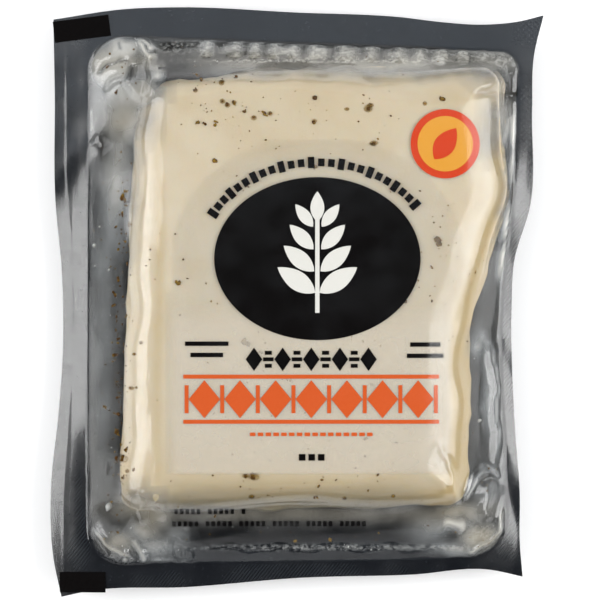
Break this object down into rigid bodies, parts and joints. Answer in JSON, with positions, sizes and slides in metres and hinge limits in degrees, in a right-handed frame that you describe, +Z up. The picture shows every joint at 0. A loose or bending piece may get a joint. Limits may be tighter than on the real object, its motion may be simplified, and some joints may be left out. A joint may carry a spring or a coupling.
{
  "type": "vacuum-sealed halloumi block",
  "caption": "Block of white brined cheese with mint flecks, vacuum-sealed between a clear printed front film and a dark backing film, lying face up",
  "frame": {"origin": "under the middle of the pack, on the surface that it lies on", "axes": "+Z up out of the clear front, +Y to the top edge of the front, +X to its right"},
  "size_m": [0.1156, 0.1382, 0.023],
  "materials": {
    "clear_film": "clear gloss film, wrinkled",
    "backing_film": "gloss slate film with a knurled seal",
    "cheese": "moist satin, slightly waxy",
    "mint": "dried leaf flecks, dull",
    "brine": "cloudy liquid with small bubbles",
    "curd": "soft white crumbs",
    "print_black": "solid ink under the film",
    "print_orange": "solid ink under the film",
    "print_yellow": "solid ink under the film",
    "print_pale": "solid or thin ink under the film"
  },
  "bodies": {
    "root": {"halloumi_pack": "clear_film"}
  },
  "joints": []
}
